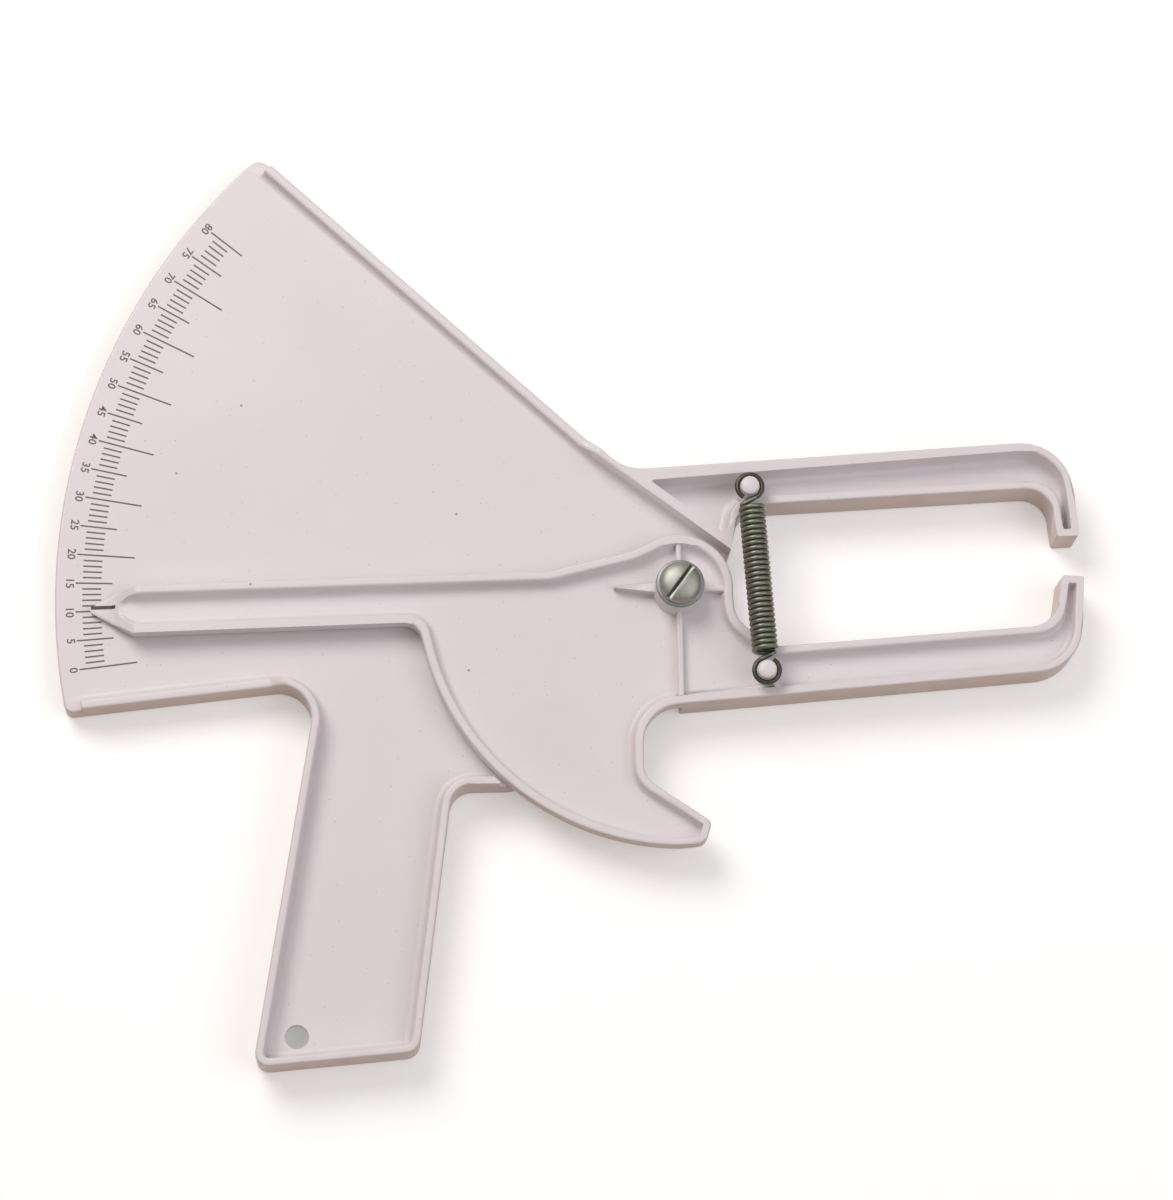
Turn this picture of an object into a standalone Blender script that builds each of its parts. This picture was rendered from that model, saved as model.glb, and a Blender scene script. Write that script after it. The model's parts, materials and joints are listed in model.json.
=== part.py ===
"""Skinfold caliper: two plastic mouldings turning on one screw, held shut by a tension spring.

The caliper lies on its back. X runs towards the jaws, Y up the scale, Z towards the reader.
Plan sizes are laid out about the pivot, and the pivot is then placed so that the origin is
under the middle of the footprint. The jaws stand a little open, the pointer just past the
first long tick of the scale.
"""

import math

import bmesh
import bpy
import numpy as np
from mathutils import Matrix, Vector

MM = 0.001

# Depths, from the surface the caliper lies on
DEPTH = 14.0 * MM
FRAME_WEB_BACK = 5.2 * MM
FRAME_WEB = 2.3 * MM
FRAME_WEB_FRONT = FRAME_WEB_BACK + FRAME_WEB
FIT_GAP = 0.3 * MM
BEARING_PAD = 0.4 * MM
LEVER_BACK = FRAME_WEB_FRONT + FIT_GAP + BEARING_PAD
LEVER_WEB = 2.1 * MM
LEVER_WEB_FRONT = LEVER_BACK + LEVER_WEB
WALL = 1.8 * MM
DRAFT = 0.9 * MM
FAIRING = 1.6 * MM
FAIRING_STEPS = 3
OVERRUN = 3.0 * MM
BITE = 0.5 * MM
WELD = 0.001 * MM
ROUND_STEPS = 40
FILLET_STEP = math.radians(13.0)
LEAST_FILLET = 0.3 * MM

# Jaws and scale: the scale reads the chord between the inner edges of the jaw faces
REACH = 102.0 * MM
JAW_WIDTH = 5.9 * MM
JAW_ANGLE = math.radians(8.4)
REST_OPENING = math.radians(5.8)
JAW_FILLET = 0.7 * MM

# Arms: corners as shares of the reach, with each corner's fillet as a share too
ARM_TIP_SHARE = (-0.139, 0.314, 0.115)
ARM_WEDGE_SHARE = (-0.132, 0.300, 0.016)
UPPER_SHOULDER_SHARE = (1.020, 0.408, 0.165)
UPPER_THROAT_SHARE = (0.972, 0.277, 0.096)
UPPER_WINDOW_SHARE = (0.159, 0.219, 0.065)
UPPER_NECK_SHARE = (0.136, 0.106, 0.020)
LOWER_NECK_SHARE = (0.144, -0.078, 0.080)
LOWER_WINDOW_SHARE = (0.236, -0.155, 0.055)
LOWER_THROAT_SHARE = (0.980, -0.089, 0.080)
LOWER_SHOULDER_SHARE = (1.043, -0.206, 0.125)
POCKET_FILLET = 1.8 * MM
NARROW_SHARE = 0.4
NARROW_LENGTH = 14.0 * MM

# Frame: scale fan, hub and handle
FAN_RADIUS = 164.8 * MM
FAN_TOP_ANGLE = math.radians(133.35)
FAN_FOOT_ANGLE = math.radians(192.0)
FAN_CORNER_ANGLE = math.radians(2.2)
FAN_TOP_FILLET = 3.8 * MM
FAN_FOOT_FILLET = 2.4 * MM
FAN_STEPS = 44
FAN_RIB = 3.0 * MM
FAN_RIB_TOP = FRAME_WEB_FRONT + FAN_RIB
RIB_RAMP = 5.0 * MM
RIB_FROM_ARM = 9.0 * MM
RIB_FROM_GRIP = 8.0 * MM
FAN_OUTSIDE_SHARE = 1.35
FRAME_HUB_RADIUS = 12.7 * MM
FRAME_HUB_START = math.radians(24.0)
FRAME_HUB_END = math.radians(-150.0)
HUB_STEPS = 18
HANDLE_DROP = 128.0 * MM
CROTCH_SHARE = (-0.191, -0.153, 0.160)
GUARD_SHARE = (-0.322, -0.414, 0.050)
GRIP_TOP_SHARE = (-0.465, -0.418, 0.047)
GRIP_FRONT_FOOT_SHARE = (-0.529, -0.966, 0.032)
GRIP_BACK_FOOT_SHARE = (-0.863, -1.000, 0.027)
GRIP_BACK_TOP_SHARE = (-0.741, -0.201, 0.070)
HANG_HOLE_SHARE = (-0.776, -0.931)
HANG_HOLE_RADIUS = 3.1 * MM
SWEEP_GAP = 1.5 * MM

# Lever: pointer, hub and finger hook, as shares of the pointer's length and the trigger's radius
LEVER_HUB_RADIUS = 14.3 * MM
LEVER_HUB_START = math.radians(112.0)
LEVER_HUB_END = math.radians(-5.0)
POINTER_LENGTH = 156.4 * MM
POINTER_TIP_SHARE = (-0.9990, -0.0435, 0.006)
POINTER_TOP_SHARE = (-0.935, -0.007, 0.013)
POINTER_BEND_SHARE = (-0.219, 0.0256, 0.030)
POINTER_HUB_SHARE = (-0.079, 0.062, 0.090)
POINTER_FOOT_SHARE = (-0.919, -0.088, 0.013)
POINTER_ROOT_SHARE = (-0.4405, -0.0652, 0.036)
POINTER_FLAT = 1.2 * MM
POINTER_FLAT_SHARE = 0.957
POINTER_RAMP_SHARE = 0.915
TRIGGER_RADIUS = 69.3 * MM
TRIGGER_START = math.radians(-90.0)
TRIGGER_END = math.radians(-165.0)
TRIGGER_STEPS = 30
HOOK_TOP_SHARE = (-0.137, -0.470, 0.144)
HOOK_FOOT_SHARE = (-0.137, -0.737, 0.087)
TRIGGER_NOSE_SHARE = (0.121, -0.906, 0.029)
TRIGGER_CHIN_SHARE = (0.097, -0.990, 0.043)
LEVER_REAR_RADIUS = FRAME_HUB_RADIUS + 2.5 * MM
LEVER_REAR_START = math.radians(-89.0)
LEVER_REAR_END = math.radians(-32.0)
LEVER_REAR_STEPS = 3

# Pivot: slotted screw, washers, lock nut and the lever's boss
SHANK_RADIUS = 3.0 * MM
BORE_RADIUS = SHANK_RADIUS + FIT_GAP
PAD_RADIUS = 10.0 * MM
BOSS_FOOT_RADIUS = 7.0 * MM
BOSS_RADIUS = 6.4 * MM
BOSS_RISE = 2.8 * MM
BOSS_TOP = DEPTH + BOSS_RISE
BOSS_RIB = 1.7 * MM
BOSS_RIB_DROP = 0.8 * MM
SPIKE_LENGTH = 17.2 * MM
SPIKE_ROOT = 4.4 * MM
WASHER_RADIUS = 6.4 * MM
WASHER_THICKNESS = 1.1 * MM
WASHER_CHAMFER = 0.25 * MM
WASHER_BACK = BOSS_TOP + FIT_GAP
HEAD_BACK = WASHER_BACK + WASHER_THICKNESS + FIT_GAP
HEAD_RADIUS = 5.6 * MM
HEAD_RIM = 0.9 * MM
HEAD_CROWN = 2.3 * MM
SLOT_WIDTH = 1.3 * MM
SLOT_DEPTH = 1.5 * MM
SLOT_ANGLE = math.radians(54.0)
DOME_STEPS = 6
BACK_WASHER_THICKNESS = 0.8 * MM
BACK_WASHER_FRONT = FRAME_WEB_BACK - FIT_GAP
NUT_FRONT = BACK_WASHER_FRONT - BACK_WASHER_THICKNESS - FIT_GAP
NUT_FLATS = 10.0 * MM
NUT_HEX_HEIGHT = 2.1 * MM
NUT_CHAMFER = 0.5 * MM
NUT_COLLAR_HEIGHT = 1.1 * MM
NUT_COLLAR_RADIUS = 4.9 * MM
NUT_LIP = 0.3 * MM
NUT_LIP_RADIUS = 3.7 * MM
INSERT_RADIUS = 4.1 * MM
INSERT_HEIGHT = 1.1 * MM
SCREW_END = 0.3 * MM
SCREW_CHAMFER = 0.4 * MM

# Spring: a post on each arm, at one radius about the pivot, and the wire between them
POST_FROM_PIVOT = 32.4 * MM
UPPER_POST_ANGLE = math.radians(55.1)
LOWER_POST_ANGLE = math.radians(-45.5)
POST_NECK_RADIUS = 2.25 * MM
POST_LIP = 0.25 * MM
POST_HEAD_FLAT = 0.5 * MM
POST_HEAD_RISE = 0.9 * MM
POST_STEPS = 24
FIN_THICKNESS = 1.5 * MM
FIN_REACH = 5.0 * MM
FIN_DROP = 3.6 * MM
WIRE = 0.95 * MM
COIL_DIAMETER = 7.1 * MM
COIL_RADIUS = (COIL_DIAMETER - WIRE) / 2
COIL_START = 4.9 * MM
COIL_TURNS = 28.5
CURL_POINTS = 9
LOOP_RADIUS = 3.3 * MM
LOOP_POINTS = 24
LOOP_SWEEP = math.radians(300.0)
LOOP_LEAVES = math.radians(-25.0)
BEND_TURN = math.radians(40.0)
BEND_REACH_SHARE = 0.35
BEND_POINTS = 4
SPRING_LIFT = 0.4 * MM
SPRING_AXIS = DEPTH + SPRING_LIFT + COIL_DIAMETER / 2

# Finishes: colour, roughness and metalness
WHITE_ABS = ((0.76, 0.70, 0.71, 1.0), 0.45, 0.0)
ZINC_PLATE = ((0.36, 0.36, 0.33, 1.0), 0.35, 1.0)
SPRING_STEEL = ((0.12, 0.13, 0.10, 1.0), 0.40, 1.0)
NATURAL_NYLON = ((0.80, 0.78, 0.70, 1.0), 0.50, 0.0)
SMOOTH_UNDER = math.radians(32.0)


def polar(radius, angle):
    """A plan point at a radius and angle about the pivot."""
    return Vector((radius * math.cos(angle), radius * math.sin(angle)))


def corner(share, size):
    """A named share as a plan corner: its place and fillet in real size."""
    return Vector((share[0] * size, share[1] * size)), share[2] * size


def arc(radius, start, end, steps):
    """Plan corners without fillet along a round stretch about the pivot."""
    return [(polar(radius, start + (end - start) * i / steps), 0.0) for i in range(steps + 1)]


def side_of(way):
    """The direction to the left of a plan direction."""
    return Vector((-way.y, way.x))


def crossing(a, b, c, d):
    """Where the line through a and b meets the line through c and d."""
    first, second = b - a, d - c
    share = (c - a).cross(second) / first.cross(second)
    return a + first * share


def shifted(corners, distance, shares=None):
    """A clockwise outline moved inwards by a distance, or by each corner's share of it."""
    moved = []
    for i, (place, fillet) in enumerate(corners):
        inward = distance * shares[i] if shares else distance
        before = (place - corners[i - 1][0]).normalized()
        after = (corners[(i + 1) % len(corners)][0] - place).normalized()
        normal = -(side_of(before) + side_of(after)).normalized()
        miter = max(-normal.dot(side_of(before)), 0.2)
        change = -inward if before.cross(after) < 0 else inward
        moved.append((place + normal * inward / miter, max(fillet + change, LEAST_FILLET) if fillet else 0.0))
    return moved


def beside(corners, i):
    """The ways from a corner to the ones before and after it, and the outline's turn there."""
    to_before = corners[i - 1][0] - corners[i][0]
    to_after = corners[(i + 1) % len(corners)][0] - corners[i][0]
    return to_before, to_after, math.pi - to_before.angle(to_after)


def fillet_steps(corners):
    """How many steps draw each corner's fillet, none where the corner stays a plain point."""
    turns = [beside(corners, i)[2] if corners[i][1] else 0.0 for i in range(len(corners))]
    return [max(2, math.ceil(turn / FILLET_STEP)) if turn >= FILLET_STEP / 2 else 0 for turn in turns]


def rounded(corners, steps=None):
    """Plan points of an outline, each fillet drawn as an arc."""
    points = []
    for i, count in enumerate(steps or fillet_steps(corners)):
        place, fillet = corners[i]
        to_before, to_after, turn = beside(corners, i)
        if not count:
            points.append(place.copy())
            continue
        reach = min(fillet * math.tan(turn / 2), to_before.length / 2, to_after.length / 2)
        radius = reach / math.tan(turn / 2)
        start = place + to_before.normalized() * reach
        middle = (to_before.normalized() + to_after.normalized()).normalized()
        centre = place + middle * radius / math.cos(turn / 2)
        way = 1 if to_before.cross(to_after) < 0 else -1
        for step in range(count + 1):
            points.append(centre + Matrix.Rotation(way * turn * step / count, 2) @ (start - centre))
    return points


def add_object(name, shape):
    """A new object from a finished bmesh."""
    bmesh.ops.recalc_face_normals(shape, faces=shape.faces[:])
    mesh = bpy.data.meshes.new(name)
    shape.to_mesh(mesh)
    shape.free()
    made = bpy.data.objects.new(name, mesh)
    bpy.context.scene.collection.objects.link(made)
    return made


def loft(name, *outlines):
    """A solid through outlines of equal count, each given with its height."""
    shape = bmesh.new()
    rings = [[shape.verts.new((p.x, p.y, height)) for p in points] for points, height in outlines]
    for low, high in zip(rings, rings[1:]):
        for i in range(len(low)):
            shape.faces.new((low[i - 1], low[i], high[i], high[i - 1]))
    shape.faces.new(rings[0])
    shape.faces.new(rings[-1])
    return add_object(name, shape)


def slab(name, corners, low, high):
    """An outline extruded between two heights."""
    points = rounded(corners)
    return loft(name, (points, low), (points, high))


def room_share(place):
    """The share of draft and fairing that fits: less inside the jaws and the trigger's nose."""
    nose = (corner(TRIGGER_NOSE_SHARE, TRIGGER_RADIUS)[0] + corner(TRIGGER_CHIN_SHARE, TRIGGER_RADIUS)[0]) / 2
    ends = (upper_jaw_face()[0], lower_jaw_face()[0], nose)
    beyond = min((place - end).length for end in ends) / NARROW_LENGTH - 1
    return NARROW_SHARE + (1 - NARROW_SHARE) * min(1, max(0, beyond))


def pocket(name, corners, floor, mouth):
    """A cutter whose walls are drafted and then faired into its floor by a quarter round."""
    steps = fillet_steps(corners)
    shares = [room_share(place) for place, _ in corners]
    rise = FAIRING if mouth > floor else -FAIRING
    outlines = [(rounded(corners, steps), mouth)]
    for step in range(FAIRING_STEPS + 1):
        turn = math.pi / 2 * step / FAIRING_STEPS
        inward = DRAFT + FAIRING * (1 - math.cos(turn))
        outlines.append((rounded(shifted(corners, inward, shares), steps), floor + rise * (1 - math.sin(turn))))
    return loft(name, *outlines)


def turned(name, profile, steps=ROUND_STEPS):
    """A profile of radii and heights spun about the vertical through the pivot."""
    shape = bmesh.new()
    line = [shape.verts.new((radius, 0, height)) for radius, height in profile]
    edges = [shape.edges.new(pair) for pair in zip(line, line[1:])]
    if profile[0][0] > 0:
        edges.append(shape.edges.new((line[-1], line[0])))
    bmesh.ops.spin(shape, geom=line + edges, axis=(0, 0, 1), angle=2 * math.pi, steps=steps, use_merge=True)
    bmesh.ops.remove_doubles(shape, verts=shape.verts[:], dist=WELD)
    return add_object(name, shape)


def disc(name, radius, low, high):
    """A plain round cutter about the pivot."""
    return turned(name, [(0, low), (radius, low), (radius, high), (0, high)])


def dome(radius, rise, height):
    """Profile points of a dome that starts at a radius and height and ends on the axis."""
    turns = [math.pi / 2 * step / DOME_STEPS for step in range(DOME_STEPS + 1)]
    return [(radius * math.cos(turn), height + rise * math.sin(turn)) for turn in turns[:-1]] + [(0, height + rise)]


def move(made, place):
    """Shifts an object's mesh in plan."""
    made.data.transform(Matrix.Translation((place.x, place.y, 0)))
    return made


def combine(target, tool, operation):
    """Joins or cuts two solids with an exact Boolean and keeps the result on the first."""
    change = target.modifiers.new("change", "BOOLEAN")
    change.operation = operation
    change.solver = "EXACT"
    change.object = tool
    depsgraph = bpy.context.evaluated_depsgraph_get()
    result = bpy.data.meshes.new_from_object(target.evaluated_get(depsgraph))
    target.modifiers.clear()
    target.data = result
    bpy.data.objects.remove(tool)
    return target


def cut(target, tool):
    return combine(target, tool, "DIFFERENCE")


def fuse(target, tool):
    return combine(target, tool, "UNION")


def upper_jaw_face():
    """The upper jaw's face, from its inner edge to its outer one."""
    inner = polar(REACH, JAW_ANGLE)
    return inner, inner + polar(JAW_WIDTH, REST_OPENING / 2)


def lower_jaw_face():
    """The lower jaw's face: the upper one swung open, less the gap left when shut."""
    swing = Matrix.Rotation(-REST_OPENING, 2)
    drop = polar(FIT_GAP, -math.pi / 2 - REST_OPENING / 2)
    inner, outer = (swing @ point + drop for point in upper_jaw_face())
    return inner, outer


def upper_arm(tip):
    """The upper arm and jaw, clockwise from the tip beside the fan to the neck."""
    inner, outer = upper_jaw_face()
    return [
        tip,
        corner(UPPER_SHOULDER_SHARE, REACH),
        (outer, JAW_FILLET),
        (inner, JAW_FILLET),
        corner(UPPER_THROAT_SHARE, REACH),
        corner(UPPER_WINDOW_SHARE, REACH),
        corner(UPPER_NECK_SHARE, REACH),
    ]


def lower_arm():
    """The lower arm and jaw, clockwise from the window beside the hub to the shoulder."""
    inner, outer = lower_jaw_face()
    return [
        corner(LOWER_WINDOW_SHARE, REACH),
        corner(LOWER_THROAT_SHARE, REACH),
        (inner, JAW_FILLET),
        (outer, JAW_FILLET),
        corner(LOWER_SHOULDER_SHARE, REACH),
    ]


def hub_and_guard():
    """The frame's hub and the web below it that carries the handle, clockwise."""
    hub = arc(FRAME_HUB_RADIUS, FRAME_HUB_START, FRAME_HUB_END, HUB_STEPS)
    return hub + [corner(CROTCH_SHARE, HANDLE_DROP), corner(GUARD_SHARE, HANDLE_DROP)]


def handle():
    """The handle, clockwise from under the trigger to its top behind."""
    shares = (GRIP_TOP_SHARE, GRIP_FRONT_FOOT_SHARE, GRIP_BACK_FOOT_SHARE, GRIP_BACK_TOP_SHARE)
    return [corner(share, HANDLE_DROP) for share in shares]


def fan_edge(radius):
    """The fan's round edge between its corners, clockwise."""
    return arc(radius, FAN_FOOT_ANGLE - FAN_CORNER_ANGLE, FAN_TOP_ANGLE + FAN_CORNER_ANGLE, FAN_STEPS)


def spring_post(web_front, angle):
    """A post with a domed head for one end loop, and the fin that props it."""
    foot = web_front - BITE
    neck = SPRING_AXIS + WIRE / 2 + FIT_GAP
    head = POST_NECK_RADIUS + POST_LIP
    brow = neck + POST_LIP + POST_HEAD_FLAT
    profile = [(0, foot), (POST_NECK_RADIUS, foot), (POST_NECK_RADIUS, neck), (head, neck + POST_LIP)]
    post = turned("post", profile + dome(head, POST_HEAD_RISE, brow), POST_STEPS)
    out = polar(1, angle)
    side = side_of(out) * FIN_THICKNESS / 2
    low = [side, out * (FIN_REACH + DRAFT) + side, out * (FIN_REACH + DRAFT) - side, -side]
    high = [side, out * FIN_REACH + side, out * FIN_REACH - side, -side]
    fuse(post, loft("fin", (low, foot), (high, SPRING_AXIS - FIN_DROP)))
    return move(post, polar(POST_FROM_PIVOT, angle))


def above_fan_ribs(back, tip, top, foot):
    """The plan area over the fan in which its ribs are lowered, held back by a distance."""
    grip = corner(GRIP_BACK_TOP_SHARE, HANDLE_DROP)[0]
    up = (top - tip).normalized()
    down = (foot - grip).normalized()
    at_arm = tip + up * (RIB_FROM_ARM + back)
    at_grip = grip + down * (RIB_FROM_GRIP + back)
    outside = FAN_RADIUS * FAN_OUTSIDE_SHARE
    return [
        at_grip + side_of(down) * OVERRUN,
        polar(outside, FAN_FOOT_ANGLE + 2 * FAN_CORNER_ANGLE),
        polar(outside, (FAN_FOOT_ANGLE + FAN_TOP_ANGLE) / 2),
        polar(outside, FAN_TOP_ANGLE - 2 * FAN_CORNER_ANGLE),
        at_arm - side_of(up) * OVERRUN,
        at_arm + side_of(up) * 2 * WALL,
        at_grip - side_of(down) * 2 * WALL,
    ]


def frame_moulding():
    """Scale fan, handle, upper arm and jaw in one moulding, hollowed in front and behind."""
    top = polar(FAN_RADIUS, FAN_TOP_ANGLE)
    foot = polar(FAN_RADIUS, FAN_FOOT_ANGLE)
    tip = corner(ARM_TIP_SHARE, REACH)
    outline = [(top, FAN_TOP_FILLET)] + upper_arm(tip) + hub_and_guard() + handle()
    outline += [(foot, FAN_FOOT_FILLET)] + fan_edge(FAN_RADIUS)
    frame = slab("frame", outline, 0, DEPTH)

    wedge = corner(ARM_WEDGE_SHARE, REACH)
    arm = shifted(upper_arm(wedge), WALL)
    cut(frame, pocket("arm_front", arm, FRAME_WEB_FRONT, DEPTH + OVERRUN))
    cut(frame, pocket("arm_back", arm, FRAME_WEB_BACK, -OVERRUN))

    neck = corner(UPPER_NECK_SHARE, REACH)[0]
    ridge = (neck - wedge[0]).normalized()
    offset = side_of(ridge) * WALL
    beyond = OVERRUN + WALL
    grip = corner(GRIP_BACK_TOP_SHARE, HANDLE_DROP)[0]
    foot_out = foot + (foot - grip).normalized() * beyond
    top_out = top + (top - tip[0]).normalized() * beyond
    edge = [(foot_out, 0.0)] + fan_edge(FAN_RADIUS + beyond) + [(top_out, 0.0)]
    edge.append((crossing(top, tip[0], wedge[0] + offset, neck + offset), POCKET_FILLET))
    back = edge + [(neck + offset, 0.0)] + hub_and_guard() + handle()
    cut(frame, pocket("plate_back", shifted(back, WALL), FRAME_WEB_BACK, -OVERRUN))

    guard = corner(GUARD_SHARE, HANDLE_DROP)[0]
    guard_foot = (guard - corner(GRIP_TOP_SHARE, HANDLE_DROP)[0]).normalized()
    open_side = [
        (neck + offset + ridge * beyond, 0.0),
        (polar(math.sqrt(2) * (FRAME_HUB_RADIUS + beyond), -math.pi / 4), 0.0),
        (guard + guard_foot * beyond, 0.0),
    ]
    front = shifted(edge + open_side + handle(), WALL)
    cut(frame, pocket("plate_front", front, FRAME_WEB_FRONT, DEPTH + OVERRUN))
    sweep = arc(TRIGGER_RADIUS + SWEEP_GAP, TRIGGER_START, TRIGGER_END, TRIGGER_STEPS)
    cut(frame, slab("trigger_sweep", sweep + [(Vector((0, 0)), 0.0)], FRAME_WEB_FRONT, DEPTH + OVERRUN))
    low = above_fan_ribs(RIB_RAMP, tip[0], top, foot)
    high = above_fan_ribs(-RIB_RAMP * OVERRUN / (DEPTH - FAN_RIB_TOP), tip[0], top, foot)
    cut(frame, loft("low_ribs", (low, FAN_RIB_TOP), (high, DEPTH + OVERRUN)))

    fuse(frame, spring_post(FRAME_WEB_FRONT, UPPER_POST_ANGLE))
    cut(frame, disc("bore", BORE_RADIUS, -OVERRUN, DEPTH))
    hang = Vector((HANG_HOLE_SHARE[0] * HANDLE_DROP, HANG_HOLE_SHARE[1] * HANDLE_DROP))
    cut(frame, move(disc("hang_hole", HANG_HOLE_RADIUS, -OVERRUN, DEPTH), hang))
    return frame


def lever_rib(start, end, start_width, end_width):
    """A rib that stands on the lever's web, between two plan points."""
    side = side_of((end - start).normalized()) / 2
    low = [start + side * start_width, end + side * end_width, end - side * end_width, start - side * start_width]
    return loft("rib", (low, LEVER_WEB_FRONT - BITE), (low, DEPTH - BOSS_RIB_DROP))


def lever_moulding():
    """Pointer, hub, trigger, lower arm and jaw in one moulding, lying over the frame."""
    jaw = lower_arm()
    hook_top = corner(HOOK_TOP_SHARE, TRIGGER_RADIUS)
    outline = [corner(POINTER_TIP_SHARE, POINTER_LENGTH), corner(POINTER_TOP_SHARE, POINTER_LENGTH)]
    outline += [corner(POINTER_BEND_SHARE, POINTER_LENGTH), corner(POINTER_HUB_SHARE, POINTER_LENGTH)]
    outline += arc(LEVER_HUB_RADIUS, LEVER_HUB_START, LEVER_HUB_END, HUB_STEPS)
    outline += [corner(LOWER_NECK_SHARE, REACH)] + jaw + [hook_top]
    outline += [corner(HOOK_FOOT_SHARE, TRIGGER_RADIUS), corner(TRIGGER_NOSE_SHARE, TRIGGER_RADIUS)]
    outline += [corner(TRIGGER_CHIN_SHARE, TRIGGER_RADIUS)]
    outline += arc(TRIGGER_RADIUS, TRIGGER_START, TRIGGER_END, TRIGGER_STEPS)
    outline += [corner(POINTER_ROOT_SHARE, POINTER_LENGTH), corner(POINTER_FOOT_SHARE, POINTER_LENGTH)]
    lever = slab("lever", outline, 0, DEPTH)

    far = POINTER_LENGTH + OVERRUN
    finger = (hook_top[0].y + corner(HOOK_FOOT_SHARE, TRIGGER_RADIUS)[0].y) / 2
    rear = arc(LEVER_REAR_RADIUS, LEVER_REAR_START, math.pi / 2, HUB_STEPS)
    rear += [(Vector((0, far)), 0.0), (Vector((-far, far)), 0.0), (Vector((-far, -far)), 0.0)]
    rear += [(Vector((far, -far)), 0.0), (Vector((far, finger)), 0.0), (polar(-finger, LEVER_REAR_START), 0.0)]
    cut(lever, slab("rear", rear, -OVERRUN, LEVER_BACK))
    cut(lever, pocket("front", shifted(outline, WALL), LEVER_WEB_FRONT, DEPTH + OVERRUN))

    hem = crossing(jaw[-1][0], hook_top[0], Vector((0, 0)), polar(far, LEVER_REAR_START))
    behind = arc(LEVER_REAR_RADIUS, LEVER_REAR_START, LEVER_REAR_END, LEVER_REAR_STEPS)
    behind += jaw + [(hem, POCKET_FILLET)]
    cut(lever, pocket("behind", shifted(behind, WALL), LEVER_BACK, -OVERRUN))

    flat_end = -POINTER_FLAT_SHARE * POINTER_LENGTH
    ramp_end = -POINTER_RAMP_SHARE * POINTER_LENGTH
    flat_top = LEVER_BACK + POINTER_FLAT
    over = ramp_end + (ramp_end - flat_end) * OVERRUN / (DEPTH - flat_top)
    half = LEVER_HUB_RADIUS
    low = [Vector((-far, -half)), Vector((-far, half)), Vector((flat_end, half)), Vector((flat_end, -half))]
    high = [Vector((-far, -half)), Vector((-far, half)), Vector((over, half)), Vector((over, -half))]
    cut(lever, loft("tip", (low, flat_top), (high, DEPTH + OVERRUN)))

    rim = LEVER_HUB_RADIUS - WALL / 2
    hem_foot = polar(hem.length - WALL / 2, LEVER_REAR_START)
    middle = Vector((0, 0))
    fuse(lever, lever_rib(middle, Vector((rim, 0)), BOSS_RIB, BOSS_RIB))
    fuse(lever, lever_rib(middle, Vector((0, rim)), BOSS_RIB, BOSS_RIB))
    fuse(lever, lever_rib(middle, hem_foot, BOSS_RIB, BOSS_RIB))
    fuse(lever, lever_rib(middle, Vector((-SPIKE_LENGTH, 0)), SPIKE_ROOT, BOSS_RIB / 4))
    boss = [(0, LEVER_WEB_FRONT - BITE), (BOSS_FOOT_RADIUS, LEVER_WEB_FRONT - BITE)]
    fuse(lever, turned("boss", boss + [(BOSS_RADIUS, BOSS_TOP), (0, BOSS_TOP)]))
    fuse(lever, disc("pad", PAD_RADIUS, LEVER_BACK - BEARING_PAD, LEVER_BACK + BITE))
    fuse(lever, spring_post(LEVER_WEB_FRONT, LOWER_POST_ANGLE))
    cut(lever, disc("bore", BORE_RADIUS, -OVERRUN, BOSS_TOP + OVERRUN))
    return lever


def pivot_screw():
    """A domed, slotted screw head on a plain shank."""
    brow = HEAD_BACK + HEAD_RIM
    profile = [(0, SCREW_END), (SHANK_RADIUS - SCREW_CHAMFER, SCREW_END)]
    profile += [(SHANK_RADIUS, SCREW_END + SCREW_CHAMFER), (SHANK_RADIUS, HEAD_BACK), (HEAD_RADIUS, HEAD_BACK)]
    screw = turned("pivot_screw", profile + dome(HEAD_RADIUS, HEAD_CROWN, brow))
    along, across = polar(HEAD_RADIUS + OVERRUN, SLOT_ANGLE), side_of(polar(SLOT_WIDTH / 2, SLOT_ANGLE))
    slot = [along + across, along - across, -along - across, -along + across]
    crown = brow + HEAD_CROWN
    return cut(screw, loft("slot", (slot, crown - SLOT_DEPTH), (slot, crown + OVERRUN)))


def washer(name, radius, low, high):
    """A flat ring with broken outer edges."""
    rim = radius - WASHER_CHAMFER
    profile = [(BORE_RADIUS, low), (rim, low), (radius, low + WASHER_CHAMFER), (radius, high - WASHER_CHAMFER)]
    return turned(name, profile + [(rim, high), (BORE_RADIUS, high)])


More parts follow.
